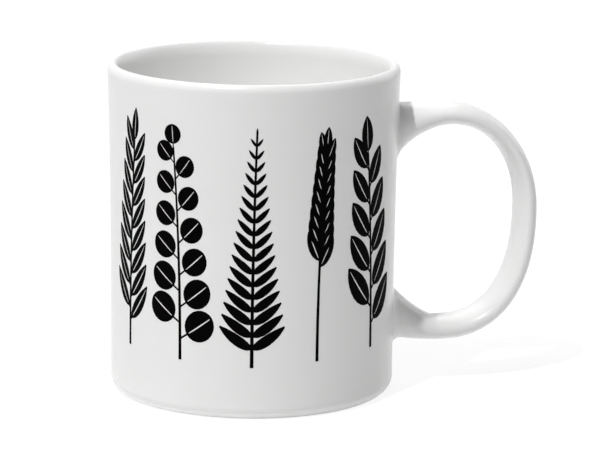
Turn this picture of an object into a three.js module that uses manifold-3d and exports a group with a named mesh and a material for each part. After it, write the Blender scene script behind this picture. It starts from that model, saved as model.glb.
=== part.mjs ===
// A straight-sided ceramic mug with a C-shaped handle, in millimetres with +Z up.
// The cup is jiggered as one piece. The handle is cast by itself, and its two roots are
// stuck to the wall with slip, which squeezes out and is wiped into a small fillet.
import * as THREE from 'three';
import { mergeVertices } from 'three/addons/utils/BufferGeometryUtils.js';
import Module from 'manifold-3d';

// Cup
const HEIGHT = 93;
const RIM_DIAMETER = 82;
const BASE_DIAMETER = 79.9; // the wall opens from this to the rim
const FLARE_POWER = 3; // the higher, the later the wall opens
const LIP_THICKNESS = 3.4;
const LIP_ROUND = 2.2; // height of the rounded lip outside
const LIP_ROUND_INSIDE = 4.6; // and inside, where it runs out softly
const WALL_THICKNESS = 4.8; // at the floor; the inside is drafted up to the lip
const FLOOR_THICKNESS = 4.6;
const FLOOR_FILLET = 9; // inside, between floor and wall
const BOTTOM_EDGE_RADIUS = 3.8; // outside, between wall and foot
const FOOT_WIDTH = 3; // flat ring that the mug stands on
const FOOT_RECESS = 1.8; // depth of the hollow inside the foot ring
const RECESS_FILLET = 1.4;

// Handle
const HANDLE_BELOW_RIM = 12.6; // from the rim down to the top face of the handle
const HANDLE_ABOVE_TABLE = 11.7; // from the table up to the underside of the handle
const FINGER_GAP = 36.4; // from the wall to the inner face of the grip, at its widest
const UPPER_BEND_HEIGHT = 31.4; // from the top face down to the outermost point of the grip
const UPPER_BEND_FULLNESS = 2.04; // 2 bends as an ellipse, more is squarer
const LOWER_BEND_FULLNESS = 2.3;
const ROOT_RUN = 14.3; // straight length between the wall and the bends
const UPPER_RUN_THICKNESS = 6.4;
const UPPER_BEND_SLIMMING = 0.5; // the upper bend is this much thinner half way round
const GRIP_THICKNESS = 5.8;
const LOWER_RUN_THICKNESS = 6.6;
const LOWER_RUN_RISE = 1; // the underside climbs this much from the bend to the wall
const GRIP_WIDTH = 14.6;
const SECTION_FULLNESS = 2.2; // of the oval cross-section

// Roots, which widen into the wall: a round gusset above and a nearly straight one below
const ROOT_WIDTH = 17.4; // at the wall
const UPPER_GUSSET_DEPTH = 9.4; // this gusset takes the whole straight run
const UPPER_GUSSET_FULLNESS = 1.5;
const LOWER_GUSSET_LENGTH = 13;
const LOWER_GUSSET_DEPTH = 9.2;
const LOWER_GUSSET_FULLNESS = 1.2;

// Slip joints
const SLIP_THICKNESS = 0.8;
const SLIP_FILLET = 1.3;
const SLIP_FILLET_BELOW = 3.2; // under the lower root, where the slip runs down
const JOINT_GAP = 0.3; // left open on both faces of the slip

// Smoothness of the facets
const TURN_STEPS = 64;
const WALL_STEPS = 6;
const ARC_STEPS = 3;
const SECTION_STEPS = 24;
const ROOT_STEPS = 12;
const ROOT_STEPS_IN_WALL = 4;
const BEND_STEPS = 12;

// Finish
const GLAZE_WHITE = 0xf2f1ee;
const GLAZE_ROUGHNESS = 0.2;
const SLIP_WHITE = 0xeceae4;
const SLIP_ROUGHNESS = 0.3;

const rimRadius = RIM_DIAMETER / 2;
const baseRadius = BASE_DIAMETER / 2;
const wallTop = HEIGHT - LIP_ROUND;
const floorHeight = FOOT_RECESS + FLOOR_THICKNESS;
const slipSeat = JOINT_GAP + SLIP_THICKNESS;
const rootSeat = slipSeat + JOINT_GAP;

const wasm = await Module();
wasm.setup();

function share(value, from, to) {
  return THREE.MathUtils.clamp((value - from) / (to - from), 0, 1);
}

function wallRadius(z) {
  return THREE.MathUtils.lerp(baseRadius, rimRadius, share(z, 0, wallTop) ** FLARE_POWER);
}

function insideRadius(z) {
  const rise = share(z, floorHeight, wallTop);
  return wallRadius(z) - THREE.MathUtils.lerp(WALL_THICKNESS, LIP_THICKNESS, rise);
}

// Heights along the wall, close together near the rim, where it opens
function wallHeights(from, to) {
  return Array.from({ length: WALL_STEPS + 1 }, (_, step) => {
    return THREE.MathUtils.lerp(from, to, Math.sqrt(step / WALL_STEPS));
  });
}

// Closed meshes to solids for joining and cutting, and back
function toSolid(geometry) {
  geometry.deleteAttribute('normal');
  geometry.deleteAttribute('uv');
  const merged = mergeVertices(geometry);
  const corners = merged.index.array;
  const triangles = [];
  for (let i = 0; i < corners.length; i += 3) {
    const [a, b, c] = corners.slice(i, i + 3);
    if (a !== b && b !== c && c !== a) triangles.push(a, b, c);
  }
  return new wasm.Manifold(new wasm.Mesh({
    numProp: 3,
    vertProperties: merged.getAttribute('position').array,
    triVerts: Uint32Array.from(triangles),
  }));
}

function toGeometry(solid) {
  const mesh = solid.getMesh();
  const geometry = new THREE.BufferGeometry();
  geometry.setAttribute('position', new THREE.BufferAttribute(mesh.vertProperties, mesh.numProp));
  geometry.setIndex(new THREE.BufferAttribute(mesh.triVerts, 1));
  geometry.computeVertexNormals();
  return geometry;
}

// Turns a profile of (radius, height) points about the upright axis
function turned(points) {
  return new THREE.LatheGeometry(points, TURN_STEPS).rotateX(Math.PI / 2);
}

// The cup's half section, from the middle of the underside round to the middle of the floor
function cupGeometry() {
  const quarter = Math.PI / 2;
  const profile = new THREE.Path();
  const footOuter = baseRadius - BOTTOM_EDGE_RADIUS;
  const footInner = footOuter - FOOT_WIDTH;
  profile.moveTo(0, FOOT_RECESS);
  profile.lineTo(footInner - RECESS_FILLET, FOOT_RECESS);
  profile.absellipse(footInner - RECESS_FILLET, 0, RECESS_FILLET, FOOT_RECESS, quarter, 0, true);
  profile.lineTo(footOuter, 0);
  profile.absarc(footOuter, BOTTOM_EDGE_RADIUS, BOTTOM_EDGE_RADIUS, -quarter, 0, false);
  for (const z of wallHeights(BOTTOM_EDGE_RADIUS, wallTop).slice(1)) {
    profile.lineTo(wallRadius(z), z);
  }

  const lipHalf = LIP_THICKNESS / 2;
  const lipMiddle = rimRadius - lipHalf;
  const insideTop = HEIGHT - LIP_ROUND_INSIDE;
  const lipInside = lipMiddle - insideRadius(insideTop);
  profile.absellipse(lipMiddle, wallTop, lipHalf, LIP_ROUND, 0, quarter, false);
  profile.absellipse(lipMiddle, insideTop, lipInside, LIP_ROUND_INSIDE, quarter, 2 * quarter, false);

  const filletTop = floorHeight + FLOOR_FILLET;
  for (const z of wallHeights(filletTop, insideTop).reverse().slice(1)) {
    profile.lineTo(insideRadius(z), z);
  }
  const filletMiddle = insideRadius(filletTop) - FLOOR_FILLET;
  profile.absarc(filletMiddle, filletTop, FLOOR_FILLET, 0, -quarter, true);
  profile.lineTo(0, floorHeight);
  return turned(profile.getPoints(ARC_STEPS));
}

// A solid that fills the cup's outside, swollen by a distance, for cutting what seats on the wall
function wallSolid(distance) {
  const heights = wallHeights(BOTTOM_EDGE_RADIUS, wallTop);
  const points = heights.map((z) => new THREE.Vector2(wallRadius(z) + distance, z));
  const below = new THREE.Vector2(baseRadius + distance, -HEIGHT);
  const above = new THREE.Vector2(rimRadius + distance, 2 * HEIGHT);
  const bottom = new THREE.Vector2(0, below.y);
  const top = new THREE.Vector2(0, above.y);
  return toSolid(turned([bottom, below, ...points, above, top]));
}

// The handle's stations, from the upper root round to the lower one. Each has a point on the
// outer face, the direction out of that face, the thickness and the width there.
const handleTop = HEIGHT - HANDLE_BELOW_RIM;
const handleBottom = HANDLE_ABOVE_TABLE;
const gripHeight = handleTop - UPPER_BEND_HEIGHT;
const handleReach = wallRadius(gripHeight) + FINGER_GAP + GRIP_THICKNESS;

const upperRun = {
  height: handleTop,
  upward: 1,
  rise: 0,
  thickness: UPPER_RUN_THICKNESS,
  gussetLength: ROOT_RUN,
  gussetDepth: UPPER_GUSSET_DEPTH,
  gussetFullness: UPPER_GUSSET_FULLNESS,
  bendFullness: UPPER_BEND_FULLNESS,
  bendSlimming: UPPER_BEND_SLIMMING,
};
const lowerRun = {
  height: handleBottom,
  upward: -1,
  rise: LOWER_RUN_RISE,
  thickness: LOWER_RUN_THICKNESS,
  gussetLength: LOWER_GUSSET_LENGTH,
  gussetDepth: LOWER_GUSSET_DEPTH,
  gussetFullness: LOWER_GUSSET_FULLNESS,
  bendFullness: LOWER_BEND_FULLNESS,
  bendSlimming: 0,
};

// How much a gusset adds to its run at some distance from the wall
function gussetAt(run, distance) {
  const inward = 1 - share(distance, 0, run.gussetLength);
  const left = (1 - inward ** run.gussetFullness) ** (1 / run.gussetFullness);
  return run.gussetDepth * (1 - left);
}

function rootStation(run, distance) {
  const gusset = gussetAt(run, distance);
  const spread = gusset / run.gussetDepth;
  const climb = run.rise * (1 - share(distance, rootSeat, ROOT_RUN)) ** 2;
  return {
    outer: new THREE.Vector2(wallRadius(run.height) + distance, run.height + climb),
    out: new THREE.Vector2(0, run.upward),
    thickness: run.thickness + gusset,
    width: THREE.MathUtils.lerp(GRIP_WIDTH, ROOT_WIDTH, spread),
  };
}

// From the cup's axis to the bend, closest together at the wall
function rootStations(run) {
  const distances = [-wallRadius(run.height)];
  for (let step = -ROOT_STEPS_IN_WALL; step <= ROOT_STEPS; step += 1) {
    distances.push(Math.sign(step) * ROOT_RUN * (step / ROOT_STEPS) ** 2);
  }
  return distances.map((distance) => rootStation(run, distance));
}

// A quarter bend between a run and the outermost point of the grip
function bendStations(run) {
  const rise = run.height - gripHeight;
  const start = wallRadius(run.height) + ROOT_RUN;
  const reach = handleReach - start;
  const stations = [];
  for (let step = 1; step <= BEND_STEPS; step += 1) {
    const turn = (step / BEND_STEPS) * (Math.PI / 2);
    const along = Math.sin(turn) ** (2 / run.bendFullness);
    const up = Math.max(Math.cos(turn), 0) ** (2 / run.bendFullness);
    const slope = run.bendFullness - 1;
    const plainThickness = THREE.MathUtils.lerp(run.thickness, GRIP_THICKNESS, Math.sin(turn));
    stations.push({
      outer: new THREE.Vector2(start + reach * along, gripHeight + rise * up),
      out: new THREE.Vector2(along ** slope / reach, up ** slope / rise).normalize(),
      thickness: plainThickness - run.bendSlimming * Math.sin(2 * turn),
      width: GRIP_WIDTH,
    });
  }
  return stations;
}

const upperRoot = rootStations(upperRun);
const lowerRoot = rootStations(lowerRun).reverse();
const lowerBend = bendStations(lowerRun).reverse();
const wholeHandle = [...upperRoot, ...bendStations(upperRun), ...lowerBend.slice(1), ...lowerRoot];

// The oval section at a station, as points in space
function sectionRing(station) {
  const middle = station.outer.clone().addScaledVector(station.out, -station.thickness / 2);
  return Array.from({ length: SECTION_STEPS }, (_, step) => {
    const turn = (step / SECTION_STEPS) * 2 * Math.PI;
    const power = 2 / SECTION_FULLNESS;
    const across = Math.sign(Math.cos(turn)) * Math.abs(Math.cos(turn)) ** power;
    const side = Math.sign(Math.sin(turn)) * Math.abs(Math.sin(turn)) ** power;
    const place = middle.clone().addScaledVector(station.out, (across * station.thickness) / 2);
    return new THREE.Vector3(place.x, (side * station.width) / 2, place.y);
  });
}

// Moves every point of the rings out of the surface by a distance that depends on the point
function swollen(rings, distanceAt) {
  return rings.map((ring, i) => ring.map((point, k) => {
    const before = rings[Math.max(i - 1, 0)][k];
    const after = rings[Math.min(i + 1, rings.length - 1)][k];
    const left = ring[(k + SECTION_STEPS - 1) % SECTION_STEPS];
    const right = ring[(k + 1) % SECTION_STEPS];
    const along = after.clone().sub(before);
    const round = right.clone().sub(left);
    const outward = along.cross(round).normalize();
    return point.clone().addScaledVector(outward, distanceAt(point, k));
  }));
}

// Joins rings into a closed skin, with a fan at each end
function lofted(rings) {
  const first = rings[0];
  const last = rings[rings.length - 1];
  const middleOf = (ring) => {
    const sum = ring.reduce((total, point) => total.add(point), new THREE.Vector3());
    return sum.divideScalar(ring.length);
  };
  const points = [...rings.flat(), middleOf(first), middleOf(last)];
  const firstMiddle = rings.length * SECTION_STEPS;
  const lastMiddle = firstMiddle + 1;
  const triangles = [];
  for (let k = 0; k < SECTION_STEPS; k += 1) {
    const next = (k + 1) % SECTION_STEPS;
    for (let i = 0; i + 1 < rings.length; i += 1) {
      const here = i * SECTION_STEPS;
      const there = here + SECTION_STEPS;
      triangles.push(here + k, there + next, here + next, here + k, there + k, there + next);
    }
    const lastRing = (rings.length - 1) * SECTION_STEPS;
    triangles.push(firstMiddle, k, next, lastMiddle, lastRing + next, lastRing + k);
  }
  const geometry = new THREE.BufferGeometry().setFromPoints(points);
  geometry.setIndex(triangles);
  return geometry;
}

const handleRings = wholeHandle.map(sectionRing);

function handleGeometry() {
  return toGeometry(toSolid(lofted(handleRings)).subtract(wallSolid(rootSeat)));
}

// The slip under one root: a pad between root and wall, and a hollow fillet round the root,
// with a size of its own at the outer face
function slipGeometry(root, outerFillet) {
  const filletAt = (point, k) => {
    const toOuterFace = (1 + Math.cos((k / SECTION_STEPS) * 2 * Math.PI)) / 2;
    const fillet = THREE.MathUtils.lerp(SLIP_FILLET, outerFillet, toOuterFace);
    const fromWall = Math.hypot(point.x, point.y) - wallRadius(point.z) - JOINT_GAP;
    const left = Math.max(fillet - Math.max(fromWall, 0), 0);
    return fillet - Math.sqrt(fillet * fillet - left * left);
  };
  const outside = toSolid(lofted(swollen(root.map(sectionRing), filletAt)));
  const rootSpace = toSolid(lofted(swollen(handleRings, () => JOINT_GAP)));
  const socket = rootSpace.subtract(wallSolid(slipSeat));
  return toGeometry(outside.subtract(wallSolid(JOINT_GAP)).subtract(socket));
}

// The finished mug, moved along X so that the middle of its outline is at the origin
const mug = new THREE.Group();
mug.position.x = (rimRadius - handleReach) / 2;

function addPiece(name, geometry, color, roughness) {
  const material = new THREE.MeshStandardMaterial({ color, roughness, metalness: 0 });
  const mesh = new THREE.Mesh(geometry, material);
  mesh.name = name;
  mug.add(mesh);
}

addPiece('cup_body', cupGeometry(), GLAZE_WHITE, GLAZE_ROUGHNESS);
addPiece('handle', handleGeometry(), GLAZE_WHITE, GLAZE_ROUGHNESS);
const upperSlip = slipGeometry(upperRoot, SLIP_FILLET);
const lowerSlip = slipGeometry(lowerRoot, SLIP_FILLET_BELOW);
addPiece('upper_slip_joint', upperSlip, SLIP_WHITE, SLIP_ROUGHNESS);
addPiece('lower_slip_joint', lowerSlip, SLIP_WHITE, SLIP_ROUGHNESS);

export default mug;
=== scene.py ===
# A white glazed mug with a C-shaped handle and a black print of leafy sprigs, in metres.
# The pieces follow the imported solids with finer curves: a smooth lip and foot, and a handle
# whose roots flow into the wall through the slip that holds them.
import math

import bpy
import numpy as np
from mathutils import Matrix, Vector


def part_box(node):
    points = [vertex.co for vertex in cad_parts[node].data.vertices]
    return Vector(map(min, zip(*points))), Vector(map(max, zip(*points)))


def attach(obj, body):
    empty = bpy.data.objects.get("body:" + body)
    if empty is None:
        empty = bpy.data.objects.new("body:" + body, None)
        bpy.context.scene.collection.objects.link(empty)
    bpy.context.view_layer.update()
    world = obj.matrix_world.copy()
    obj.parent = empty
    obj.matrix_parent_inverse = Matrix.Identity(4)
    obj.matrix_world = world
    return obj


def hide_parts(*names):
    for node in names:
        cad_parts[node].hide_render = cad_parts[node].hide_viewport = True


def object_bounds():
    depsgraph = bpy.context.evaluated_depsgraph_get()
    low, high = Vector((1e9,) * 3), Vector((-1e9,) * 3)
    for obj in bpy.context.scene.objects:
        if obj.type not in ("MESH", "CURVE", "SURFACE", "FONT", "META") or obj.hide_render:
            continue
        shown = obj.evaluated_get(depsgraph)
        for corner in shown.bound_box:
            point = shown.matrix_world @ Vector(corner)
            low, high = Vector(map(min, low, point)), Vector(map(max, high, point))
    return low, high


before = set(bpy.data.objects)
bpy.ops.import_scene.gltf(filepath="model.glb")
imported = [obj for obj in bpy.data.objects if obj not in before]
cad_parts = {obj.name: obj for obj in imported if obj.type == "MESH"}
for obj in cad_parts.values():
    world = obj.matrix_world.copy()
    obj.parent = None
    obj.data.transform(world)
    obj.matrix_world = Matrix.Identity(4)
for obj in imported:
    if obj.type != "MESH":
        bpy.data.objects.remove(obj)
solid_low, solid_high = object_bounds()

MM = 0.001
cup_low, cup_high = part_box("cup_body")
handle_low, handle_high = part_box("handle")

# Cup
AXIS_X = (cup_low.x + cup_high.x) / 2
HEIGHT = cup_high.z
RIM_RADIUS = (cup_high.x - cup_low.x) / 2
BASE_RADIUS = 39.95 * MM
FLARE_POWER = 3
LIP_THICKNESS = 3.4 * MM
LIP_ROUND = 2.2 * MM
LIP_ROUND_INSIDE = 4.6 * MM
WALL_THICKNESS = 4.8 * MM
FLOOR_THICKNESS = 4.6 * MM
FLOOR_FILLET = 9 * MM
BOTTOM_EDGE_RADIUS = 3.8 * MM
FOOT_WIDTH = 3 * MM
FOOT_RECESS = 1.8 * MM
RECESS_FILLET = 1.4 * MM
FOOT_INNER_EDGE = 0.5 * MM
GLAZE_LINE = -70  # degrees round the bottom edge, where the glaze was wiped off the foot
GLAZE_BEAD = 0.1 * MM  # the glaze stands this much proud along that line
GLAZE_BEAD_SPREAD = 18  # degrees over which the bead sinks back
WALL_TOP = HEIGHT - LIP_ROUND
FLOOR_HEIGHT = FOOT_RECESS + FLOOR_THICKNESS
FOOT_RADIUS = BASE_RADIUS - BOTTOM_EDGE_RADIUS

# Handle
HANDLE_REACH = handle_high.x - AXIS_X
HANDLE_TOP = handle_high.z
HANDLE_BOTTOM = handle_low.z
GRIP_HEIGHT = 49 * MM  # where the grip is furthest out
ROOT_RUN = 14.3 * MM
GRIP_THICKNESS = 5.8 * MM
GRIP_WIDTH = 14.6 * MM
ROOT_WIDTH = 17.4 * MM  # at the wall
SECTION_FULLNESS = 2.2  # 2 makes the section an ellipse, more makes it squarer
ROOT_SEAT = 1.4 * MM
SLIP_FILLET = 1.3 * MM
STEP_UNDER_ROOT = 0.3 * MM
ROOT_END = 0.6 * MM  # the root's hidden end stays this far off the wall
SLIP_TOP = 0.5 * MM  # and the slip's hidden top stays under it
SLIP_SUNK = 0.1 * MM

UPPER_RUN = {
    "height": HANDLE_TOP, "upward": 1, "rise": 0, "thickness": 6.4 * MM,
    "bend_fullness": 2.04, "bend_slimming": 0.5 * MM,
    "gusset_length": ROOT_RUN, "gusset_depth": 9.4 * MM, "gusset_fullness": 1.5,
    "outer_fillet": SLIP_FILLET,
}
LOWER_RUN = {
    "height": HANDLE_BOTTOM, "upward": -1, "rise": 1 * MM, "thickness": 6.6 * MM,
    "bend_fullness": 2.3, "bend_slimming": 0,
    "gusset_length": 13 * MM, "gusset_depth": 9.2 * MM, "gusset_fullness": 1.2,
    "outer_fillet": 3.2 * MM,
}

# Print: five sprigs side by side. Place is measured round the wall from the print's middle, and
# Lean is how far the stem's tip leans aside. Leaves is the number on each side, and Stagger how
# many leaf spaces later one side starts. Bare Share is the part of the stem below the leaves, Tip
# Share the size of the topmost leaf beside the lowest, and Stalk Share the part of a leaf that is
# stalk. Belly under 1 puts a leaf's widest place nearer the stem, Point over 0.5 sharpens its
# ends, and Bend is how far its tip bends aside, as a share of its length.
PRINT_AZIMUTH = math.radians(-101.6)
PRINT_FILM = 0.05 * MM  # a fired print is thinner; this clears the facets of the wall
STEM_FILM = 0.06 * MM
PRINT_SUNK = 0.02 * MM
VEIN_REACH = 0.3  # share of a blade's steps, to each side of its middle, that the light vein runs
STALK_WIDTH = 0.6  # of a leaf's stalk, as a share of the stem's width
STEM_TIP_WIDTH = 0.55  # of the stem's tip, as a share of its width at the foot
TOP_LEAF_ANGLE = 0.7  # of the topmost leaves to the stem, as a share of the lowest leaves' angle
END_LEAF_AT = 0.99  # share of the stem's height, so that the end leaf grows out of the stem

SPRIGS = {
    "willow_sprig": {
        "Place": -40 * MM, "Foot Height": 17 * MM, "Stem Height": 58 * MM, "Lean": 3 * MM,
        "Stem Width": 0.9 * MM, "Bare Share": 0.12, "Leaves": 8, "Stagger": 0.5,
        "Leaf Length": 13 * MM, "Leaf Width": 3.8 * MM, "Leaf Angle": math.radians(42),
        "Tip Share": 0.75, "Stalk Share": 0.08, "Belly": 0.8, "Point": 0.8, "Bend": 0.12,
        "Vein Gap": 0.35 * MM,
    },
    "round_leaf_sprig": {
        "Place": -20.5 * MM, "Foot Height": 16 * MM, "Stem Height": 59 * MM, "Lean": -2 * MM,
        "Stem Width": 0.9 * MM, "Bare Share": 0.1, "Leaves": 6, "Stagger": 0.5,
        "Leaf Length": 11.5 * MM, "Leaf Width": 8.6 * MM, "Leaf Angle": math.radians(58),
        "Tip Share": 0.6, "Stalk Share": 0.22, "Belly": 1, "Point": 0.5, "Bend": 0.05,
        "Vein Gap": 0.4 * MM,
    },
    "fern_frond": {
        "Place": 0 * MM, "Foot Height": 15 * MM, "Stem Height": 65 * MM, "Lean": 1 * MM,
        "Stem Width": 1 * MM, "Bare Share": 0.08, "Leaves": 17, "Stagger": 0,
        "Leaf Length": 10.8 * MM, "Leaf Width": 3 * MM, "Leaf Angle": math.radians(62),
        "Tip Share": 0.2, "Stalk Share": 0.02, "Belly": 0.75, "Point": 0.7, "Bend": 0.12,
        "Vein Gap": 0 * MM,
    },
    "barley_ear": {
        "Place": 18.5 * MM, "Foot Height": 16 * MM, "Stem Height": 58 * MM, "Lean": 2 * MM,
        "Stem Width": 0.9 * MM, "Bare Share": 0.45, "Leaves": 9, "Stagger": 0.5,
        "Leaf Length": 9.5 * MM, "Leaf Width": 3.4 * MM, "Leaf Angle": math.radians(27),
        "Tip Share": 0.8, "Stalk Share": 0.05, "Belly": 0.85, "Point": 0.7, "Bend": 0.05,
        "Vein Gap": 0.3 * MM,
    },
    "bay_sprig": {
        "Place": 38.5 * MM, "Foot Height": 17 * MM, "Stem Height": 55 * MM, "Lean": -3 * MM,
        "Stem Width": 1 * MM, "Bare Share": 0.12, "Leaves": 5, "Stagger": 0.5,
        "Leaf Length": 16 * MM, "Leaf Width": 6.8 * MM, "Leaf Angle": math.radians(44),
        "Tip Share": 0.7, "Stalk Share": 0.12, "Belly": 0.85, "Point": 0.75, "Bend": 0.1,
        "Vein Gap": 0.45 * MM,
    },
}

# Smoothness: the steps of each curve, and the edges that stay sharp, in degrees
TURN_STEPS = 256
WALL_STEPS = 48
FLOOR_STEPS = 12
FLOOR_FILLET_STEPS = 18
LIP_OUTSIDE_STEPS = 16
LIP_INSIDE_STEPS = 20
BOTTOM_EDGE_STEPS = 24
BARE_EDGE_STEPS = 4
FOOT_STEPS = 6
RECESS_STEPS = 10
CUP_CREASE = 50
SECTION_STEPS = 96
ROOT_STEPS = 36
ROOT_GATHERING = 1.5  # more than 1 brings the root's steps closer together at the wall
BEND_STEPS = 60
FILLET_STEPS = 20
HANDLE_CREASE = 40
LEAF_STEPS = 12
LEAF_COLUMNS = 5
STEM_STEPS = 24
PRINT_CREASE = 30
WELD = 0.001 * MM  # points closer than this become one

# The search for a distance from the wall, which starts from a depth inside it
ROOT_SEARCH_DEPTH = 8 * MM
SLIP_SEARCH_DEPTH = 12 * MM
SEARCH_HALVINGS = 50
SLOPE_STEP = 0.01 * MM

# Camera and light, from the photograph. The camera's angles are in radians. The lamps' angles are
# in degrees, their distances and sizes in metres, and their power is in watts.
CAMERA_DISTANCE = 937.4 * MM
CAMERA_HEIGHT = 244.3 * MM
CAMERA_YAW = 0.0142
CAMERA_PITCH = 0.2079
CAMERA_ROLL = 0.0116
CAMERA_TURN = math.radians(-11.6)  # the handle points this much away from the camera
CAMERA_LENS = 203.81  # lens and sensor are in millimetres
CAMERA_SENSOR = 36
LAMPS = {
    "key_lamp": {"azimuth": -131.5, "elevation": 58, "distance": 3, "size": 0.09, "power": 47.8},
    "fill_lamp": {"azimuth": -170, "elevation": 70, "distance": 1.2, "size": 0.9, "power": 6.3},
    "side_lamp": {"azimuth": 22, "elevation": 18, "distance": 1.2, "size": 0.9, "power": 2.2},
    "back_lamp": {"azimuth": 90, "elevation": 40, "distance": 1.2, "size": 0.9, "power": 2.6},
}
SKY_LIGHT = 0.01
DIFFUSE_BOUNCES = 12  # light goes from wall to wall many times inside a white cup
FLOOR_WIDTH = 6
FLOOR_GLOW = 0.86  # what the lamps add to this makes the floor white, but for the shadow
FLOOR_SHADOW_REACH = 0.3
FLOOR_WHITE_FROM = 1  # from here on the floor is white by itself, so no horizon shows


def add(tree, kind, *values, **settings):
    """Adds a node. Keywords set its properties; values go to its inputs, in order or in a dict."""
    node = tree.nodes.new(kind)
    for name, value in settings.items():
        setattr(node, name, value)
    inputs = {}
    for place, value in enumerate(values):
        inputs.update(value if isinstance(value, dict) else {place: value})
    for name, value in inputs.items():
        if isinstance(value, bpy.types.Node):
            value = next(output for output in value.outputs if output.enabled)
        if isinstance(value, bpy.types.NodeSocket):
            tree.links.new(value, node.inputs[name])
        else:
            node.inputs[name].default_value = value
    return node


def linear(colour):
    """An sRGB hex colour as linear light"""
    channels = [int(colour[i:i + 2], 16) / 255 for i in (0, 2, 4)]
    return [*(c / 12.92 if c <= 0.04045 else ((c + 0.055) / 1.055) ** 2.4 for c in channels), 1]


def share(value, start, end):
    return np.clip((value - start) / (end - start), 0, 1)


def lerp(start, end, part):
    return start + (end - start) * part


# Materials

# A Mix node's inputs for colours, by number, because other kinds of inputs have the same names
MIX_SHARE = 0
MIX_FIRST = 6
MIX_SECOND = 7


def new_material(name):
    material = bpy.data.materials.new(name)
    material.use_nodes = True
    material.node_tree.nodes.clear()
    return material, material.node_tree


# Stoneware under a white glaze: an even, neutral white with a smooth, half-glossy skin. Highlights
# are bright but soft-edged, and waver a little, because the glaze settled in low ripples.
def white_glaze():
    pool_width = 18 * MM
    ripple_width = 7 * MM
    ripple_height = 0.03 * MM
    material, tree = new_material("glazed_white_stoneware")
    place = add(tree, "ShaderNodeTexCoord").outputs["Object"]
    pools = add(tree, "ShaderNodeTexNoise", {"Vector": place, "Scale": 1 / pool_width, "Detail": 2})
    colour = add(
        tree, "ShaderNodeMix",
        {MIX_SHARE: pools, MIX_FIRST: linear("fafafa"), MIX_SECOND: linear("f7f7f6")},
        data_type="RGBA",
    )
    gloss = add(tree, "ShaderNodeMapRange", {"Value": pools, "To Min": 0.2, "To Max": 0.27})
    ripples = add(tree, "ShaderNodeTexNoise", {"Vector": place, "Scale": 1 / ripple_width, "Detail": 1})
    bump = add(
        tree, "ShaderNodeBump", {"Height": ripples, "Strength": 0.5, "Distance": ripple_height},
    )
    glaze = add(tree, "ShaderNodeBsdfPrincipled", {
        "Base Color": colour, "Roughness": gloss, "Normal": bump,
        "IOR": 1.5, "Specular IOR Level": 0.3,
    })
    add(tree, "ShaderNodeOutputMaterial", glaze)
    return material


# The foot, where the glaze was wiped off: bare fired clay, matt and a little warm, with the
# fine grit of the body showing.
def bare_bisque():
    grit_size = 0.8 * MM
    grit_height = 0.05 * MM
    material, tree = new_material("bare_bisque")
    place = add(tree, "ShaderNodeTexCoord").outputs["Object"]
    grit = add(tree, "ShaderNodeTexNoise", {"Vector": place, "Scale": 1 / grit_size, "Detail": 3})
    colour = add(
        tree, "ShaderNodeMix",
        {MIX_SHARE: grit, MIX_FIRST: linear("d9d2c6"), MIX_SECOND: linear("ece6dc")},
        data_type="RGBA",
    )
    bump = add(tree, "ShaderNodeBump", {"Height": grit, "Strength": 0.6, "Distance": grit_height})
    clay = add(
        tree, "ShaderNodeBsdfPrincipled", {"Base Color": colour, "Roughness": 0.85, "Normal": bump},
    )
    add(tree, "ShaderNodeOutputMaterial", clay)
    return material


# Screen-printed ceramic colour, fired on: a dense, nearly matt black, with the faint unevenness
# of the squeegee's pull.
def black_print():
    patch_width = 2.5 * MM
    material, tree = new_material("fired_black_enamel")
    place = add(tree, "ShaderNodeTexCoord").outputs["Object"]
    pull = add(tree, "ShaderNodeTexNoise", {"Vector": place, "Scale": 1 / patch_width, "Detail": 3})
    colour = add(
        tree, "ShaderNodeMix",
        {MIX_SHARE: pull, MIX_FIRST: linear("030303"), MIX_SECOND: linear("090909")},
        data_type="RGBA",
    )
    gloss = add(tree, "ShaderNodeMapRange", {"Value": pull, "To Min": 0.45, "To Max": 0.6})
    enamel = add(tree, "ShaderNodeBsdfPrincipled", {
        "Base Color": colour, "Roughness": gloss, "IOR": 1.5, "Specular IOR Level": 0.01,
    })
    add(tree, "ShaderNodeOutputMaterial", enamel)
    return material


GLAZE = white_glaze()
BISQUE = bare_bisque()
PRINT = black_print()


# Making pieces

def plain_mesh(name, points, faces=()):
    mesh = bpy.data.meshes.new(name)
    mesh.from_pydata([tuple(point) for point in points], [], faces)
    return mesh


def placed(name, data):
    holder = bpy.data.objects.new(name, data)
    bpy.context.scene.collection.objects.link(holder)
    return holder


def smoothed(piece, crease):
    """Rounds the shading everywhere but at edges sharper than the crease, in degrees"""
    piece.data.shade_smooth()
    piece.data.set_sharp_from_angle(angle=math.radians(crease))
    return piece


def new_tree(name, inputs, result):
    """An empty Geometry Nodes tree, with named inputs listed under their kinds, and its inputs"""
    tree = bpy.data.node_groups.new(name, "GeometryNodeTree")
    for kind, labels in inputs.items():
        for label in labels:
            tree.interface.new_socket(label, in_out="INPUT", socket_type="NodeSocket" + kind)
    tree.interface.new_socket(result, in_out="OUTPUT", socket_type="NodeSocketGeometry")
    return tree, add(tree, "NodeGroupInput").outputs


def grown(name, start, tree, sizes):
    """Runs a Geometry Nodes tree on a mesh and keeps the result as a plain mesh"""
    piece = placed(name, start)
    modifier = piece.modifiers.new(tree.name, "NODES")
    modifier.node_group = tree
    for socket in tree.interface.items_tree:
        if socket.name in sizes:
            value = sizes[socket.name]
            is_float = socket.socket_type == "NodeSocketFloat"
            modifier[socket.identifier] = float(value) if is_float else value
    depsgraph = bpy.context.evaluated_depsgraph_get()
    made = bpy.data.meshes.new_from_object(piece.evaluated_get(depsgraph), depsgraph=depsgraph)
    made.materials.pop(index=0)  # the empty slot that a grid brings along
    piece.modifiers.clear()
    piece.data = made
    return piece


def wall_radius(z):
    return lerp(BASE_RADIUS, RIM_RADIUS, share(z, 0, WALL_TOP) ** FLARE_POWER)


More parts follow.
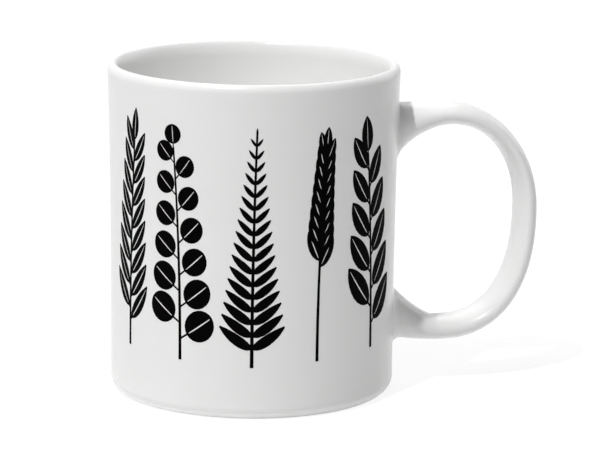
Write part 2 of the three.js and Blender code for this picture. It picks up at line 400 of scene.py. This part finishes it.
def inside_radius(z):
    return wall_radius(z) - lerp(WALL_THICKNESS, LIP_THICKNESS, share(z, FLOOR_HEIGHT, WALL_TOP))


# Cup

def line(start, end, steps):
    return np.linspace(start, end, steps + 1)


def arc(middle, radii, start, end, steps):
    """Points on an ellipse in the half section, between two angles in degrees"""
    turns = np.radians(line(start, end, steps))
    return np.stack([middle[0] + radii[0] * np.cos(turns), middle[1] + radii[1] * np.sin(turns)], 1)


def bottom_edge(start, end, steps):
    """The round between foot and wall, between two angles in degrees"""
    radii = (BOTTOM_EDGE_RADIUS, BOTTOM_EDGE_RADIUS)
    return arc((FOOT_RADIUS, BOTTOM_EDGE_RADIUS), radii, start, end, steps)


def glazed_underside():
    """From the middle of the underside to the foot ring's inner side"""
    recess_edge = FOOT_RADIUS - FOOT_WIDTH - RECESS_FILLET
    recess_round = (RECESS_FILLET, FOOT_RECESS - FOOT_INNER_EDGE)
    return np.concatenate([
        line((0, FOOT_RECESS), (recess_edge, FOOT_RECESS), FLOOR_STEPS)[:-1],
        arc((recess_edge, FOOT_INNER_EDGE), recess_round, 90, 0, RECESS_STEPS),
    ])


def bare_foot():
    """From the foot ring's inner side to the line where the glaze begins"""
    inner_edge = FOOT_RADIUS - FOOT_WIDTH + FOOT_INNER_EDGE
    inner_round = (FOOT_INNER_EDGE, FOOT_INNER_EDGE)
    return np.concatenate([
        arc((inner_edge, FOOT_INNER_EDGE), inner_round, 180, 270, FOOT_STEPS)[1:],
        line((inner_edge, 0), (FOOT_RADIUS, 0), FOOT_STEPS)[1:],
        bottom_edge(-90, GLAZE_LINE, BARE_EDGE_STEPS)[1:],
    ])


def beaded_edge():
    """From the glaze line up to the wall, with the bead that the glaze forms along its line"""
    points = bottom_edge(GLAZE_LINE, 0, BOTTOM_EDGE_STEPS)
    above_line = line(0, -GLAZE_LINE, BOTTOM_EDGE_STEPS)
    bead = GLAZE_BEAD * np.exp(-(above_line / GLAZE_BEAD_SPREAD) ** 2)
    outward = (points - (FOOT_RADIUS, BOTTOM_EDGE_RADIUS)) / BOTTOM_EDGE_RADIUS
    return points + outward * bead[:, None]


def glazed_wall():
    """From the glaze line up the outside, over the lip and down to the middle of the floor"""
    fillet_top = FLOOR_HEIGHT + FLOOR_FILLET
    fillet_middle = inside_radius(fillet_top) - FLOOR_FILLET
    inside_top = HEIGHT - LIP_ROUND_INSIDE
    lip_middle = RIM_RADIUS - LIP_THICKNESS / 2
    lip_inside = (lip_middle - inside_radius(inside_top), LIP_ROUND_INSIDE)
    # The wall's steps are closest together near the rim, where it flares most
    climb = np.sqrt(line(0, 1, WALL_STEPS))
    outside = lerp(BOTTOM_EDGE_RADIUS, WALL_TOP, climb[1:])
    inside = lerp(fillet_top, inside_top, climb[:-1][::-1])
    return np.concatenate([
        beaded_edge(),
        np.stack([wall_radius(outside), outside], 1),
        arc((lip_middle, WALL_TOP), (LIP_THICKNESS / 2, LIP_ROUND), 0, 90, LIP_OUTSIDE_STEPS)[1:],
        arc((lip_middle, inside_top), lip_inside, 90, 180, LIP_INSIDE_STEPS)[1:],
        np.stack([inside_radius(inside), inside], 1),
        arc((fillet_middle, fillet_top), (FLOOR_FILLET, FLOOR_FILLET), 0, -90, FLOOR_FILLET_STEPS)[1:],
        line((fillet_middle, FLOOR_HEIGHT), (0, FLOOR_HEIGHT), FLOOR_STEPS)[1:],
    ])


def turned_cup_tree():
    """Turns a section's points about the cup's axis, and keeps its bare part as clay"""
    tree, given = new_tree("turned_cup", {
        "Geometry": ["Section"], "Int": ["Turn Steps"], "Float": ["Axis X"],
        "Material": ["Glaze", "Clay"],
    }, "Cup")

    # A grid one unit wide: its x runs along the section's points, its y round the axis
    count = add(tree, "GeometryNodeAttributeDomainSize", given["Section"]).outputs["Point Count"]
    rows = add(tree, "ShaderNodeMath", given["Turn Steps"], 1, operation="ADD")
    grid = add(tree, "GeometryNodeMeshGrid", 1, 1, count, rows).outputs["Mesh"]
    position = add(tree, "GeometryNodeInputPosition")
    on_grid = add(tree, "ShaderNodeSeparateXYZ", position).outputs
    along = add(tree, "ShaderNodeMath", on_grid["X"], 0.5, operation="ADD")
    last = add(tree, "ShaderNodeMath", count, 1, operation="SUBTRACT")
    step = add(tree, "ShaderNodeMath", along, last, operation="MULTIPLY")
    nearest = add(tree, "FunctionNodeFloatToInt", step, rounding_mode="ROUND")
    point = add(
        tree, "GeometryNodeSampleIndex",
        {0: given["Section"], "Value": position, "Index": nearest}, data_type="FLOAT_VECTOR",
    )
    in_section = add(tree, "ShaderNodeSeparateXYZ", point).outputs
    turn = add(tree, "ShaderNodeMath", on_grid["Y"], 2 * math.pi, operation="MULTIPLY")
    cosine = add(tree, "ShaderNodeMath", turn, operation="COSINE")
    sine = add(tree, "ShaderNodeMath", turn, operation="SINE")
    radius = in_section["X"]
    x = add(tree, "ShaderNodeMath", radius, cosine, given["Axis X"], operation="MULTIPLY_ADD")
    y = add(tree, "ShaderNodeMath", radius, sine, operation="MULTIPLY")
    turned = add(tree, "ShaderNodeCombineXYZ", x, y, in_section["Z"])

    # The section's marks go along. A face's mark is the mean of its points' marks, so it is clay
    # where all of them are bare.
    all_points = 0.99
    mark = add(tree, "GeometryNodeInputNamedAttribute", "bare", data_type="FLOAT").outputs[0]
    clay = add(
        tree, "GeometryNodeSampleIndex",
        {0: given["Section"], "Value": mark, "Index": nearest}, data_type="FLOAT",
    )
    marked = add(
        tree, "GeometryNodeStoreNamedAttribute", {0: grid, "Name": "bare", "Value": clay},
        data_type="FLOAT",
    )
    shaped = add(tree, "GeometryNodeSetPosition", {0: marked, "Position": turned})
    outward = add(tree, "GeometryNodeFlipFaces", shaped)
    closed = add(tree, "GeometryNodeMergeByDistance", {0: outward, "Distance": WELD})
    real = add(tree, "GeometryNodeRealizeInstances", closed)
    glazed = add(tree, "GeometryNodeSetMaterial", {0: real, "Material": given["Glaze"]})
    all_bare = add(tree, "ShaderNodeMath", mark, all_points, operation="GREATER_THAN")
    finished = add(
        tree, "GeometryNodeSetMaterial",
        {0: glazed, "Selection": all_bare, "Material": given["Clay"]},
    )
    add(tree, "NodeGroupOutput", finished)
    return tree


def make_cup():
    stretches = (glazed_underside(), bare_foot(), glazed_wall())
    is_bare = np.float32((0, 1, 0))
    bare = np.repeat(is_bare, [len(points) for points in stretches])
    radius, height = np.concatenate(stretches).T
    section = plain_mesh("cup_section", np.stack([radius, 0 * radius, height], 1))
    section.attributes.new("bare", "FLOAT", "POINT").data.foreach_set("value", bare)
    cup = grown("cup", section, turned_cup_tree(), {
        "Turn Steps": TURN_STEPS, "Axis X": AXIS_X, "Glaze": GLAZE, "Clay": BISQUE,
    })
    smoothed(cup, CUP_CREASE)
    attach(cup, "root")
    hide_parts("cup_body")


# Handle

def superellipse(wave):
    return np.sign(wave) * np.abs(wave) ** (2 / SECTION_FULLNESS)


section_turn = np.linspace(0, 2 * math.pi, SECTION_STEPS, endpoint=False)
section_across = superellipse(np.cos(section_turn))
section_side = superellipse(np.sin(section_turn))


def gusset_at(run, distance):
    inward = 1 - share(distance, 0, run["gusset_length"])
    fullness = run["gusset_fullness"]
    return run["gusset_depth"] * (1 - (1 - inward ** fullness) ** (1 / fullness))


def root_ring(run, distance):
    """The section's points, each at its own distance from the wall, measured along the run"""
    distance = np.broadcast_to(distance, section_turn.shape)
    gusset = gusset_at(run, distance)
    width = lerp(GRIP_WIDTH, ROOT_WIDTH, gusset / run["gusset_depth"])
    thickness = run["thickness"] + gusset
    climb = run["rise"] * (1 - share(distance, ROOT_SEAT, ROOT_RUN)) ** 2
    x = wall_radius(run["height"]) + distance
    z = run["height"] + climb - run["upward"] * thickness * (1 - section_across) / 2
    return np.stack([x, section_side * width / 2, z], 1)


def from_wall(points):
    return np.hypot(points[:, 0], points[:, 1]) - wall_radius(points[:, 2])


def onto_wall(points, distance):
    """Moves points straight in or out to a distance from the wall"""
    radius = np.hypot(points[:, 0], points[:, 1])
    stretch = (wall_radius(points[:, 2]) + distance) / radius
    return points * np.stack([stretch, stretch, np.ones_like(stretch)], 1)


def reach_wall_distance(points_at, low, high, distance):
    """Finds for each point how far along it comes to a distance from the wall"""
    low = np.full(SECTION_STEPS, low)
    high = np.full(SECTION_STEPS, high)
    for _ in range(SEARCH_HALVINGS):
        middle = (low + high) / 2
        beyond = from_wall(points_at(middle)) > distance
        high = np.where(beyond, middle, high)
        low = np.where(beyond, low, middle)
    return (low + high) / 2


def unit(vectors):
    return vectors / np.linalg.norm(vectors, axis=1, keepdims=True)


def fillet_round(run):
    """The size of the slip's fillet at each of the section's points"""
    return lerp(SLIP_FILLET, run["outer_fillet"], (1 + np.cos(section_turn)) / 2)


def root_edge(run):
    """Where the slip's fillet meets the root: distances, points, directions inward and outward"""
    distance = reach_wall_distance(
        lambda d: root_ring(run, d), -ROOT_SEARCH_DEPTH, ROOT_RUN, fillet_round(run),
    )
    points = root_ring(run, distance)
    inward = unit(points - root_ring(run, distance + SLOPE_STEP))
    beside = np.roll(points, -1, axis=0) - np.roll(points, 1, axis=0)
    outward = unit(np.cross(beside, inward)) * run["upward"]
    return distance, points, inward, outward


def root_rings(run):
    """From the slip's edge out to the bend, closest together at the edge"""
    edge = root_edge(run)[0]
    parts = line(0, 1, ROOT_STEPS) ** ROOT_GATHERING
    return [root_ring(run, lerp(edge, ROOT_RUN, part)) for part in parts]


def bend_rings(run):
    """A quarter bend between a run and the outermost point of the grip"""
    rings = []
    rise = run["height"] - GRIP_HEIGHT
    start = wall_radius(run["height"]) + ROOT_RUN
    reach = HANDLE_REACH - start
    fullness = run["bend_fullness"]
    for turn in line(0, math.pi / 2, BEND_STEPS)[1:]:
        along = math.sin(turn) ** (2 / fullness)
        up = max(math.cos(turn), 0) ** (2 / fullness)
        out = Vector((along ** (fullness - 1) / reach, up ** (fullness - 1) / rise)).normalized()
        plain_thickness = lerp(run["thickness"], GRIP_THICKNESS, math.sin(turn))
        thickness = plain_thickness - run["bend_slimming"] * math.sin(2 * turn)
        inset = thickness * (1 - section_across) / 2
        x = start + reach * along - out.x * inset
        z = GRIP_HEIGHT + rise * up - out.y * inset
        rings.append(np.stack([x, section_side * GRIP_WIDTH / 2, z], 1))
    return rings


def under_root(run, distance):
    """A ring stepped in under the root's edge, at a distance from the wall"""
    _, points, _, outward = root_edge(run)
    return onto_wall(points - outward * STEP_UNDER_ROOT, distance)


def seat_middle(run, distance):
    """The middle of the root, at a distance from the wall"""
    middle = np.mean(root_ring(run, ROOT_SEAT), axis=0)
    return (wall_radius(middle[2]) + distance, 0, middle[2])


def lofted(name, rings, first_middle, last_middle):
    """Joins rings into a closed skin, with a fan at each end"""
    points = np.concatenate([*rings, [first_middle, last_middle]])
    points[:, 0] += AXIS_X
    first = len(rings) * SECTION_STEPS
    end = first - SECTION_STEPS
    faces = []
    for k in range(SECTION_STEPS):
        after = (k + 1) % SECTION_STEPS
        for here in range(0, end, SECTION_STEPS):
            there = here + SECTION_STEPS
            faces.append((here + k, there + k, there + after, here + after))
        faces.append((first, k, after))
        faces.append((first + 1, end + after, end + k))
    mesh = plain_mesh(name, points, faces)
    mesh.materials.append(GLAZE)
    return smoothed(placed(name, mesh), HANDLE_CREASE)


def make_handle():
    upper = [under_root(UPPER_RUN, ROOT_END), *root_rings(UPPER_RUN), *bend_rings(UPPER_RUN)]
    lower = [under_root(LOWER_RUN, ROOT_END), *root_rings(LOWER_RUN), *bend_rings(LOWER_RUN)[:-1]]
    ends = [seat_middle(run, ROOT_END) for run in (UPPER_RUN, LOWER_RUN)]
    handle = lofted("loop_handle", upper + lower[::-1], *ends)
    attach(handle, "root")
    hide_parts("handle")


def make_slip(name, node, run):
    """The slip under a root: a pad on the wall with a fillet that runs up onto the root"""
    _, edge, inward, outward = root_edge(run)
    length = reach_wall_distance(lambda d: edge - inward * d[:, None], -SLIP_SEARCH_DEPTH, 0, 0)
    corner = edge - inward * length[:, None]
    upright = unit(corner * (1, 1, 0))
    along_wall = unit(outward - upright * np.sum(outward * upright, axis=1, keepdims=True))
    toe = onto_wall(corner + along_wall * fillet_round(run)[:, None], 0)
    # The fillet runs from toe to edge, pulled towards the corner just enough to be an arc
    corner_pull = math.cos(math.pi / 4)
    rings = [onto_wall(toe, -SLIP_SUNK)]
    for turn in line(0, math.pi, FILLET_STEPS):
        part = (1 - math.cos(turn)) / 2
        parts = ((1 - part) ** 2, 2 * corner_pull * part * (1 - part), part ** 2)
        rings.append((parts[0] * toe + parts[1] * corner + parts[2] * edge) / sum(parts))
    rings.append(under_root(run, SLIP_TOP))
    ends = [seat_middle(run, -SLIP_SUNK), seat_middle(run, SLIP_TOP)]
    if run["upward"] < 0:
        rings.reverse()
        ends.reverse()
    slip = lofted(name, rings, *ends)
    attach(slip, "root")
    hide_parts(node)


# Print

def stem_line(tree, given, part):
    """Where the stem is at a share of its height, and how far it leans there"""
    stem_height = given["Stem Height"]
    square = add(tree, "ShaderNodeMath", part, part, operation="MULTIPLY")
    x = add(tree, "ShaderNodeMath", square, given["Lean"], given["Place"], operation="MULTIPLY_ADD")
    y = add(
        tree, "ShaderNodeMath", part, stem_height, given["Foot Height"], operation="MULTIPLY_ADD",
    )
    slope = add(tree, "ShaderNodeMath", given["Lean"], stem_height, operation="DIVIDE")
    double = add(tree, "ShaderNodeMath", slope, 2, operation="MULTIPLY")
    tilt = add(tree, "ShaderNodeMath", double, part, operation="MULTIPLY")
    return x, y, tilt


def filmed(tree, given, shape, film):
    """Gives a flat shape its thickness and closes it underneath"""
    deep = add(tree, "ShaderNodeMath", film, given["Sunk"], operation="ADD")
    whole = add(tree, "GeometryNodeMergeByDistance", {0: shape, "Distance": WELD})
    raised = add(
        tree, "GeometryNodeExtrudeMesh", {"Mesh": whole, "Offset Scale": deep, "Individual": False},
    )
    under = add(tree, "GeometryNodeFlipFaces", whole)
    both = add(tree, "GeometryNodeJoinGeometry")
    tree.links.new(raised.outputs["Mesh"], both.inputs[0])
    tree.links.new(under.outputs["Mesh"], both.inputs[0])
    return add(tree, "GeometryNodeMergeByDistance", {0: both, "Distance": WELD})


def leaf_blank(tree, given):
    """A flat leaf that points along x, from a grid one unit wide. Gives its mesh and, for each of
    its points, how far along and across it lies and how far the leaf has bent aside there."""
    flat = add(tree, "ShaderNodeSeparateXYZ", add(tree, "GeometryNodeInputPosition")).outputs
    along = add(tree, "ShaderNodeMath", flat["X"], 0.5, operation="ADD")
    column = add(tree, "ShaderNodeMath", flat["Y"], operation="ABSOLUTE")
    sign = add(tree, "ShaderNodeMath", flat["Y"], operation="SIGN")
    stalk_step = 1 / LEAF_STEPS
    half_column = 0.5 / LEAF_COLUMNS

    # Along: one step for the stalk, then steps that are closest together at the blade's two ends,
    # where the outline turns most
    on_blade = add(tree, "ShaderNodeMapRange", {"Value": along, "From Min": stalk_step})
    half_turn = add(tree, "ShaderNodeMath", on_blade, math.pi, operation="MULTIPLY")
    cosine = add(tree, "ShaderNodeMath", half_turn, operation="COSINE")
    blade = add(tree, "ShaderNodeMapRange", {"Value": cosine, "From Min": 1, "From Max": -1})
    on_stalk = add(
        tree, "ShaderNodeMapRange",
        {"Value": along, "From Max": stalk_step, "To Max": given["Stalk Share"]},
    )
    reach = add(tree, "ShaderNodeMapRange", {"Value": blade, "To Min": on_stalk})
    length = add(tree, "ShaderNodeMath", reach, given["Leaf Length"], operation="MULTIPLY")
    curve = add(tree, "ShaderNodeMath", reach, length, operation="MULTIPLY")
    bend = add(tree, "ShaderNodeMath", curve, given["Bend"], operation="MULTIPLY")

    # Across: a share times what is left of it is a quarter at most, so four of them swell from
    # nothing to a full half width and back, and the vein between the halves swells with them
    skewed = add(tree, "ShaderNodeMath", blade, given["Belly"], operation="POWER")
    left = add(tree, "ShaderNodeMath", 1, skewed, operation="SUBTRACT")
    hump = add(tree, "ShaderNodeMath", skewed, left, operation="MULTIPLY")
    full = add(tree, "ShaderNodeMath", hump, 4, operation="MULTIPLY")
    swell = add(tree, "ShaderNodeMath", full, given["Point"], operation="POWER")
    half_leaf = add(tree, "ShaderNodeMath", given["Leaf Width"], 0.5, operation="MULTIPLY")
    half_blade = add(tree, "ShaderNodeMath", swell, half_leaf, operation="MULTIPLY")
    half_stalk = add(
        tree, "ShaderNodeMath", given["Stem Width"], STALK_WIDTH / 2, operation="MULTIPLY",
    )
    half = add(tree, "ShaderNodeMath", half_blade, half_stalk, operation="MAXIMUM")
    half_gap = add(tree, "ShaderNodeMath", given["Vein Gap"], 0.5, operation="MULTIPLY")
    gap = add(tree, "ShaderNodeMath", swell, half_gap, operation="MULTIPLY")
    beside = add(
        tree, "ShaderNodeMapRange",
        {"Value": column, "From Min": half_column, "From Max": 0.5, "To Min": gap, "To Max": half},
    )
    across = add(tree, "ShaderNodeMath", beside, sign, operation="MULTIPLY")

    # The middle column is the vein: the print leaves it out, but for the blade's two ends
    blank = add(tree, "GeometryNodeMeshGrid", 1, 1, LEAF_STEPS + 1, LEAF_COLUMNS + 1).outputs["Mesh"]
    in_middle = add(tree, "ShaderNodeMath", column, half_column / 2, operation="LESS_THAN")
    off_ends = add(tree, "ShaderNodeMath", on_blade, 0.5, VEIN_REACH, operation="COMPARE")
    in_vein = add(tree, "ShaderNodeMath", in_middle, off_ends, operation="MULTIPLY")
    veined = add(
        tree, "GeometryNodeDeleteGeometry", {0: blank, "Selection": in_vein}, domain="FACE",
    )
    return veined, length, across, bend


def leaf(tree, given, blank, side):
    """A leaf that bends to one side, 1 or -1, or to neither, 0"""
    mesh, length, across, bend = blank
    bent = add(tree, "ShaderNodeMath", bend, side, across, operation="MULTIPLY_ADD")
    place = add(tree, "ShaderNodeCombineXYZ", length, bent, 0)
    shape = add(tree, "GeometryNodeSetPosition", {0: mesh, "Position": place})
    return filmed(tree, given, shape, given["Film"])


def side_leaves(tree, given, blank, side, delay):
    """The leaves up one side, smaller and closer to the stem towards its tip"""
    points = add(tree, "GeometryNodePoints", given["Leaves"])
    order = add(tree, "GeometryNodeInputIndex")
    number = add(tree, "ShaderNodeMath", order, delay, operation="ADD")
    rank = add(tree, "ShaderNodeMath", number, given["Leaves"], operation="DIVIDE")
    part = add(tree, "ShaderNodeMapRange", {"Value": rank, "To Min": given["Bare Share"]})
    x, y, tilt = stem_line(tree, given, part)
    place = add(tree, "ShaderNodeCombineXYZ", x, y, 0)
    feet = add(tree, "GeometryNodeSetPosition", {0: points, "Position": place})
    closing = add(
        tree, "ShaderNodeMapRange", {"Value": rank, "To Min": 1, "To Max": TOP_LEAF_ANGLE},
    )
    spread = add(tree, "ShaderNodeMath", closing, given["Leaf Angle"], operation="MULTIPLY")
    turn = add(tree, "ShaderNodeMath", spread, -side, math.pi / 2, operation="MULTIPLY_ADD")
    heading = add(tree, "ShaderNodeMath", turn, tilt, operation="SUBTRACT")
    scale = add(
        tree, "ShaderNodeMapRange", {"Value": rank, "To Min": 1, "To Max": given["Tip Share"]},
    )
    return add(tree, "GeometryNodeInstanceOnPoints", {
        "Points": feet,
        "Instance": leaf(tree, given, blank, side),
        "Rotation": add(tree, "ShaderNodeCombineXYZ", 0, 0, heading),
        "Scale": add(tree, "ShaderNodeCombineXYZ", scale, scale, 1),
    })


def end_leaf(tree, given, blank):
    """One leaf that carries on from the stem's tip"""
    x, y, tilt = stem_line(tree, given, END_LEAF_AT)
    upright = add(tree, "ShaderNodeMath", math.pi / 2, tilt, operation="SUBTRACT")
    scale = given["Tip Share"]
    return add(tree, "GeometryNodeTransform", {
        "Geometry": leaf(tree, given, blank, 0),
        "Translation": add(tree, "ShaderNodeCombineXYZ", x, y, 0),
        "Rotation": add(tree, "ShaderNodeCombineXYZ", 0, 0, upright),
        "Scale": add(tree, "ShaderNodeCombineXYZ", scale, scale, 1),
    })


def narrowing_stem(tree, given):
    """A ribbon that narrows upwards. Its width is negative, so that it faces outwards."""
    flat = add(tree, "ShaderNodeSeparateXYZ", add(tree, "GeometryNodeInputPosition")).outputs
    ribbon = add(tree, "GeometryNodeMeshGrid", 1, 1, STEM_STEPS + 1, 2).outputs["Mesh"]
    along = add(tree, "ShaderNodeMath", flat["X"], 0.5, operation="ADD")
    x, y, _ = stem_line(tree, given, along)
    narrowing = add(
        tree, "ShaderNodeMapRange", {"Value": along, "To Min": -1, "To Max": -STEM_TIP_WIDTH},
    )
    width = add(tree, "ShaderNodeMath", narrowing, given["Stem Width"], operation="MULTIPLY")
    edge = add(tree, "ShaderNodeMath", flat["Y"], width, x, operation="MULTIPLY_ADD")
    place = add(tree, "ShaderNodeCombineXYZ", edge, y, 0)
    shape = add(tree, "GeometryNodeSetPosition", {0: ribbon, "Position": place})
    return filmed(tree, given, shape, given["Stem Film"])


def round_the_wall(tree, given, shape):
    """Bends a flat print round the cup: what lay along it becomes an angle about the axis"""
    flat = add(tree, "ShaderNodeSeparateXYZ", add(tree, "GeometryNodeInputPosition")).outputs
    climb = add(tree, "ShaderNodeMath", flat["Y"], given["Wall Top"], operation="DIVIDE")
    flare = add(tree, "ShaderNodeMath", climb, given["Flare Power"], operation="POWER")
    wall = add(
        tree, "ShaderNodeMapRange",
        {"Value": flare, "To Min": given["Base Radius"], "To Max": given["Rim Radius"]},
    )
    proud = add(tree, "ShaderNodeMath", flat["Z"], given["Sunk"], operation="SUBTRACT")
    radius = add(tree, "ShaderNodeMath", wall, proud, operation="ADD")
    turn = add(tree, "ShaderNodeMath", flat["X"], given["Base Radius"], operation="DIVIDE")
    around = add(tree, "ShaderNodeMath", turn, given["Azimuth"], operation="ADD")
    cosine = add(tree, "ShaderNodeMath", around, operation="COSINE")
    sine = add(tree, "ShaderNodeMath", around, operation="SINE")
    x = add(tree, "ShaderNodeMath", radius, cosine, given["Axis X"], operation="MULTIPLY_ADD")
    y = add(tree, "ShaderNodeMath", radius, sine, operation="MULTIPLY")
    place = add(tree, "ShaderNodeCombineXYZ", x, y, flat["Y"])
    return add(tree, "GeometryNodeSetPosition", {0: shape, "Position": place})


def sprig_tree():
    """A stem with leaves on both sides, drawn flat, then bent round the cup's wall"""
    tree, given = new_tree("leafy_sprig", {
        "Float": [
            "Place", "Foot Height", "Stem Height", "Lean", "Stem Width", "Bare Share", "Stagger",
            "Leaf Length", "Leaf Width", "Leaf Angle", "Tip Share", "Stalk Share", "Belly", "Point",
            "Bend", "Vein Gap", "Film", "Stem Film", "Sunk", "Axis X", "Azimuth", "Base Radius",
            "Rim Radius", "Wall Top", "Flare Power",
        ],
        "Int": ["Leaves"],
        "Material": ["Colour"],
    }, "Sprig")
    blank = leaf_blank(tree, given)
    joined = add(tree, "GeometryNodeJoinGeometry")
    for part in (
        side_leaves(tree, given, blank, 1, 0),
        side_leaves(tree, given, blank, -1, given["Stagger"]),
        end_leaf(tree, given, blank),
        narrowing_stem(tree, given),
    ):
        tree.links.new(part.outputs[0], joined.inputs[0])
    real = add(tree, "GeometryNodeRealizeInstances", joined)
    printed = round_the_wall(tree, given, real)
    coloured = add(tree, "GeometryNodeSetMaterial", {0: printed, "Material": given["Colour"]})
    add(tree, "NodeGroupOutput", coloured)
    return tree


def make_print():
    tree = sprig_tree()
    on_wall = {
        "Colour": PRINT, "Film": PRINT_FILM, "Stem Film": STEM_FILM, "Sunk": PRINT_SUNK,
        "Axis X": AXIS_X, "Azimuth": PRINT_AZIMUTH, "Base Radius": BASE_RADIUS,
        "Rim Radius": RIM_RADIUS, "Wall Top": WALL_TOP, "Flare Power": FLARE_POWER,
    }
    for name, sizes in SPRIGS.items():
        sprig = grown(name, bpy.data.meshes.new(name), tree, sizes | on_wall)
        smoothed(sprig, PRINT_CREASE)
        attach(sprig, "root")


# Studio

def seen_by_camera(tree):
    """Whether light is on its way to the camera, straight or by way of gloss or glass"""
    path = add(tree, "ShaderNodeLightPath").outputs
    seen = add(
        tree, "ShaderNodeMath", path["Is Camera Ray"], path["Is Glossy Ray"], operation="MAXIMUM",
    )
    return add(tree, "ShaderNodeMath", seen, path["Is Transmission Ray"], operation="MAXIMUM")


def make_floor():
    """A pale floor: white to the camera with a faint shadow, and a plain pale card to the light"""
    material, tree = new_material("pale_studio_card")
    place = add(tree, "ShaderNodeTexCoord").outputs["Object"]
    distance = add(tree, "ShaderNodeVectorMath", place, operation="LENGTH").outputs["Value"]
    glow = add(tree, "ShaderNodeMapRange", {
        "Value": distance, "From Min": FLOOR_SHADOW_REACH, "From Max": FLOOR_WHITE_FROM,
        "To Min": FLOOR_GLOW, "To Max": 1,
    })
    card = add(tree, "ShaderNodeBsdfDiffuse", linear("f7f7f7"))
    faint = add(tree, "ShaderNodeBsdfDiffuse", linear("898989"))
    white = add(tree, "ShaderNodeEmission", {"Strength": glow})
    bright = add(tree, "ShaderNodeAddShader", faint, white)
    surface = add(tree, "ShaderNodeMixShader", seen_by_camera(tree), card, bright)
    add(tree, "ShaderNodeOutputMaterial", surface)
    half = FLOOR_WIDTH / 2
    corners = [(-half, -half, 0), (half, -half, 0), (half, half, 0), (-half, half, 0)]
    mesh = plain_mesh("floor", corners, [(0, 1, 2, 3)])
    mesh.materials.append(material)
    placed("floor", mesh)


def make_sky():
    """Faint even light from all round, and a white backdrop to the camera and in reflections"""
    world = bpy.data.worlds.new("studio")
    world.use_nodes = True
    bpy.context.scene.world = world
    tree = world.node_tree
    tree.nodes.clear()
    strength = add(
        tree, "ShaderNodeMapRange", {"Value": seen_by_camera(tree), "To Min": SKY_LIGHT, "To Max": 1},
    )
    backdrop = add(tree, "ShaderNodeBackground", linear("ffffff"), strength)
    add(tree, "ShaderNodeOutputWorld", backdrop)


def make_lamp(name, sizes):
    """A round lamp that looks at the middle of the mug"""
    lamp = bpy.data.lights.new(name, "AREA")
    lamp.shape = "DISK"
    lamp.size = sizes["size"]
    lamp.energy = sizes["power"]
    azimuth = math.radians(sizes["azimuth"])
    elevation = math.radians(sizes["elevation"])
    toward = Vector((
        math.cos(azimuth) * math.cos(elevation),
        math.sin(azimuth) * math.cos(elevation),
        math.sin(elevation),
    ))
    holder = placed(name, lamp)
    holder.location = (solid_low + solid_high) / 2 + toward * sizes["distance"]
    holder.rotation_euler = toward.to_track_quat("Z", "Y").to_euler()


def make_camera():
    """At the photograph's angle: in front of the cup, then turned about the cup's axis, because the
    handle points along x here and a little away from the camera in the photograph"""
    forward = Vector((
        math.sin(CAMERA_YAW) * math.cos(CAMERA_PITCH),
        math.cos(CAMERA_YAW) * math.cos(CAMERA_PITCH),
        -math.sin(CAMERA_PITCH),
    ))
    right = forward.cross(Vector((0, 0, 1))).normalized()
    above = right.cross(forward)
    roll = Matrix.Rotation(-CAMERA_ROLL, 3, forward)
    axes = Matrix((roll @ right, roll @ above, -forward)).transposed()
    place = Matrix.Translation((0, -CAMERA_DISTANCE, CAMERA_HEIGHT)) @ axes.to_4x4()
    about_cup = Matrix.Translation((AXIS_X, 0, 0)) @ Matrix.Rotation(CAMERA_TURN, 4, "Z")
    data = bpy.data.cameras.new("camera")
    data.sensor_width = CAMERA_SENSOR
    data.sensor_fit = "HORIZONTAL"
    data.lens = CAMERA_LENS
    camera = placed("camera", data)
    camera.matrix_world = about_cup @ place
    bpy.context.scene.camera = camera


bpy.context.scene.view_settings.view_transform = "Standard"
bpy.context.scene.cycles.diffuse_bounces = DIFFUSE_BOUNCES
make_camera()
make_sky()
for lamp_name, lamp_sizes in LAMPS.items():
    make_lamp(lamp_name, lamp_sizes)
make_floor()
make_cup()
make_handle()
make_slip("upper_slip", "upper_slip_joint", UPPER_RUN)
make_slip("lower_slip", "lower_slip_joint", LOWER_RUN)
make_print()
